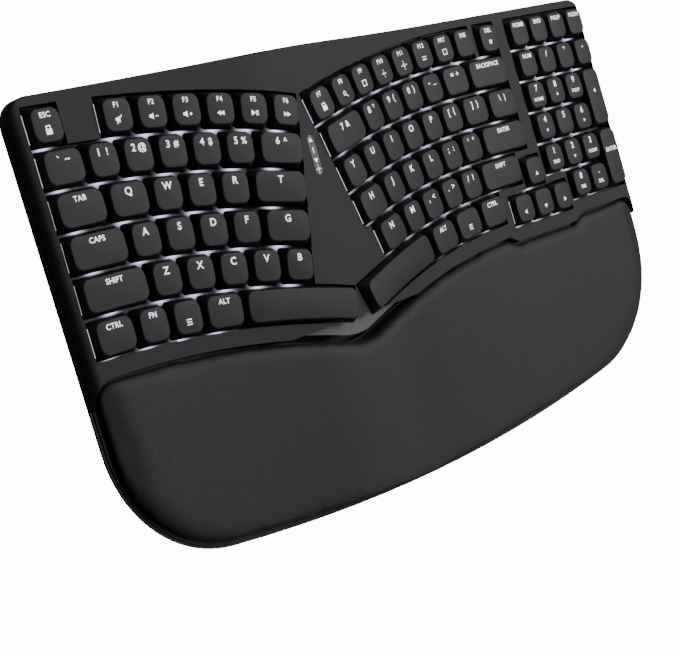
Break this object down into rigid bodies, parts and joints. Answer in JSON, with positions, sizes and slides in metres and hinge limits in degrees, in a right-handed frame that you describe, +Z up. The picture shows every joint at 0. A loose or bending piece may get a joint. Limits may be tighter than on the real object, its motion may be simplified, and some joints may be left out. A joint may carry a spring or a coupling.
{
  "type": "ergonomic split keyboard",
  "caption": "Full-size ergonomic keyboard: curved left and right key fields on a raised centre ridge, number pad, arrow keys, and a cushioned wrist pad along the front",
  "frame": {"origin": "on the desk, below the middle of the case's bounding box", "axes": "X along the keyboard to the user's right, Y from the user towards the rear edge, Z up"},
  "size_m": [0.4286, 0.23, 0.0291],
  "materials": {
    "keycap_plastic": "satin, light legends",
    "stem_plastic": "moulded",
    "case_plastic": "fine matte",
    "pad_cover": "smooth artificial leather",
    "frame_plastic": "moulded",
    "plate_metal": "satin black",
    "board_laminate": "solder mask",
    "housing_plastic": "moulded",
    "led_lens": "clear",
    "battery_foil": "foil pouch",
    "socket_metal": "drawn shell",
    "slider_plastic": "moulded",
    "window_plastic": "polished",
    "foot_rubber": "moulded",
    "screw_steel": "zinc plated",
    "ribbon_film": "film"
  },
  "bodies": {
    "case": {"bottom_case": "case_plastic", "top_case": "case_plastic", "wrist_pad": "pad_cover", "wrist_pad_base": "frame_plastic", "switch_plate": "plate_metal", "left_circuit_board": "board_laminate", "right_circuit_board": "board_laminate", "switch_housings": "housing_plastic", "backlight_leds": "led_lens", "battery": "battery_foil", "usb_socket": "socket_metal", "power_switch_frame": "frame_plastic", "indicator_window": "window_plastic", "rubber_feet": "foot_rubber", "case_screws": "screw_steel", "pad_screws": "screw_steel", "board_ribbon": "ribbon_film"},
    "left_function": {"left_function_keycaps": "keycap_plastic", "left_function_stems": "stem_plastic"},
    "left_number": {"left_number_keycaps": "keycap_plastic", "left_number_stems": "stem_plastic"},
    "left_upper": {"left_upper_keycaps": "keycap_plastic", "left_upper_stems": "stem_plastic"},
    "left_home": {"left_home_keycaps": "keycap_plastic", "left_home_stems": "stem_plastic"},
    "left_lower": {"left_lower_keycaps": "keycap_plastic", "left_lower_stems": "stem_plastic"},
    "left_modifier": {"left_modifier_keycaps": "keycap_plastic", "left_modifier_stems": "stem_plastic"},
    "left_space": {"left_space_keycaps": "keycap_plastic", "left_space_stems": "stem_plastic"},
    "right_function": {"right_function_keycaps": "keycap_plastic", "right_function_stems": "stem_plastic"},
    "right_number": {"right_number_keycaps": "keycap_plastic", "right_number_stems": "stem_plastic"},
    "right_upper": {"right_upper_keycaps": "keycap_plastic", "right_upper_stems": "stem_plastic"},
    "right_home": {"right_home_keycaps": "keycap_plastic", "right_home_stems": "stem_plastic"},
    "right_lower": {"right_lower_keycaps": "keycap_plastic", "right_lower_stems": "stem_plastic"},
    "right_modifier": {"right_modifier_keycaps": "keycap_plastic", "right_modifier_stems": "stem_plastic"},
    "right_space": {"right_space_keycaps": "keycap_plastic", "right_space_stems": "stem_plastic"},
    "arrow": {"arrow_keycaps": "keycap_plastic", "arrow_stems": "stem_plastic"},
    "navigation": {"navigation_keycaps": "keycap_plastic", "navigation_stems": "stem_plastic"},
    "numpad_operator": {"numpad_operator_keycaps": "keycap_plastic", "numpad_operator_stems": "stem_plastic"},
    "numpad_digit": {"numpad_digit_keycaps": "keycap_plastic", "numpad_digit_stems": "stem_plastic"},
    "numpad_plus": {"numpad_plus_keycaps": "keycap_plastic", "numpad_plus_stems": "stem_plastic"},
    "numpad_enter": {"numpad_enter_keycaps": "keycap_plastic", "numpad_enter_stems": "stem_plastic"},
    "power_switch": {"power_switch_slider": "slider_plastic"},
    "left_leg": {"left_tilt_leg": "frame_plastic"},
    "right_leg": {"right_tilt_leg": "frame_plastic"}
  },
  "joints": [
    {"name": "left_function_press", "type": "slide", "parent": "case", "child": "left_function", "axis": [0.0646, 0, -0.9979], "range_m": [0, 0.003], "stiffness_N_per_m": 560, "springref_m": -0.0044},
    {"name": "left_number_press", "type": "slide", "parent": "case", "child": "left_number", "axis": [0.0573, 0, -0.9984], "range_m": [0, 0.003], "stiffness_N_per_m": 560, "springref_m": -0.0044},
    {"name": "left_upper_press", "type": "slide", "parent": "case", "child": "left_upper", "axis": [0.0604, 0, -0.9982], "range_m": [0, 0.003], "stiffness_N_per_m": 480, "springref_m": -0.0044},
    {"name": "left_home_press", "type": "slide", "parent": "case", "child": "left_home", "axis": [0.0625, 0, -0.998], "range_m": [0, 0.003], "stiffness_N_per_m": 480, "springref_m": -0.0044},
    {"name": "left_lower_press", "type": "slide", "parent": "case", "child": "left_lower", "axis": [0.0667, 0, -0.9978], "range_m": [0, 0.003], "stiffness_N_per_m": 480, "springref_m": -0.0044},
    {"name": "left_modifier_press", "type": "slide", "parent": "case", "child": "left_modifier", "axis": [0.0286, 0, -0.9996], "range_m": [0, 0.003], "stiffness_N_per_m": 320, "springref_m": -0.0044},
    {"name": "left_space_press", "type": "slide", "parent": "case", "child": "left_space", "axis": [0.1267, 0, -0.9919], "range_m": [0, 0.003], "stiffness_N_per_m": 80, "springref_m": -0.0044},
    {"name": "right_function_press", "type": "slide", "parent": "case", "child": "right_function", "axis": [-0.0506, 0, -0.9987], "range_m": [0, 0.003], "stiffness_N_per_m": 720, "springref_m": -0.0044},
    {"name": "right_number_press", "type": "slide", "parent": "case", "child": "right_number", "axis": [-0.0544, 0, -0.9985], "range_m": [0, 0.003], "stiffness_N_per_m": 560, "springref_m": -0.0044},
    {"name": "right_upper_press", "type": "slide", "parent": "case", "child": "right_upper", "axis": [-0.0548, 0, -0.9985], "range_m": [0, 0.003], "stiffness_N_per_m": 640, "springref_m": -0.0044},
    {"name": "right_home_press", "type": "slide", "parent": "case", "child": "right_home", "axis": [-0.0574, 0, -0.9984], "range_m": [0, 0.003], "stiffness_N_per_m": 560, "springref_m": -0.0044},
    {"name": "right_lower_press", "type": "slide", "parent": "case", "child": "right_lower", "axis": [-0.06, 0, -0.9982], "range_m": [0, 0.003], "stiffness_N_per_m": 480, "springref_m": -0.0044},
    {"name": "right_modifier_press", "type": "slide", "parent": "case", "child": "right_modifier", "axis": [-0.0363, 0, -0.9993], "range_m": [0, 0.003], "stiffness_N_per_m": 240, "springref_m": -0.0044},
    {"name": "right_space_press", "type": "slide", "parent": "case", "child": "right_space", "axis": [-0.1279, 0, -0.9918], "range_m": [0, 0.003], "stiffness_N_per_m": 80, "springref_m": -0.0044},
    {"name": "arrow_press", "type": "slide", "parent": "case", "child": "arrow", "axis": [0, 0, -1], "range_m": [0, 0.003], "stiffness_N_per_m": 320, "springref_m": -0.0044},
    {"name": "navigation_press", "type": "slide", "parent": "case", "child": "navigation", "axis": [0, 0, -1], "range_m": [0, 0.003], "stiffness_N_per_m": 320, "springref_m": -0.0044},
    {"name": "numpad_operator_press", "type": "slide", "parent": "case", "child": "numpad_operator", "axis": [0, 0, -1], "range_m": [0, 0.003], "stiffness_N_per_m": 320, "springref_m": -0.0044},
    {"name": "numpad_digit_press", "type": "slide", "parent": "case", "child": "numpad_digit", "axis": [0, 0, -1], "range_m": [0, 0.003], "stiffness_N_per_m": 880, "springref_m": -0.0044},
    {"name": "numpad_plus_press", "type": "slide", "parent": "case", "child": "numpad_plus", "axis": [0, 0, -1], "range_m": [0, 0.003], "stiffness_N_per_m": 80, "springref_m": -0.0044},
    {"name": "numpad_enter_press", "type": "slide", "parent": "case", "child": "numpad_enter", "axis": [0, 0, -1], "range_m": [0, 0.003], "stiffness_N_per_m": 80, "springref_m": -0.0044},
    {"name": "power_switch_slide", "type": "slide", "parent": "case", "child": "power_switch", "axis": [1, 0, 0], "range_m": [0, 0.002]},
    {"name": "left_leg_hinge", "type": "hinge", "parent": "case", "child": "left_leg", "pos_m": [-0.1476, -0.0565, 0.0028], "axis": [1, 0, 0], "range_deg": [0, 90]},
    {"name": "right_leg_hinge", "type": "hinge", "parent": "case", "child": "right_leg", "pos_m": [0.1476, -0.0565, 0.0028], "axis": [1, 0, 0], "range_deg": [0, 90]}
  ]
}
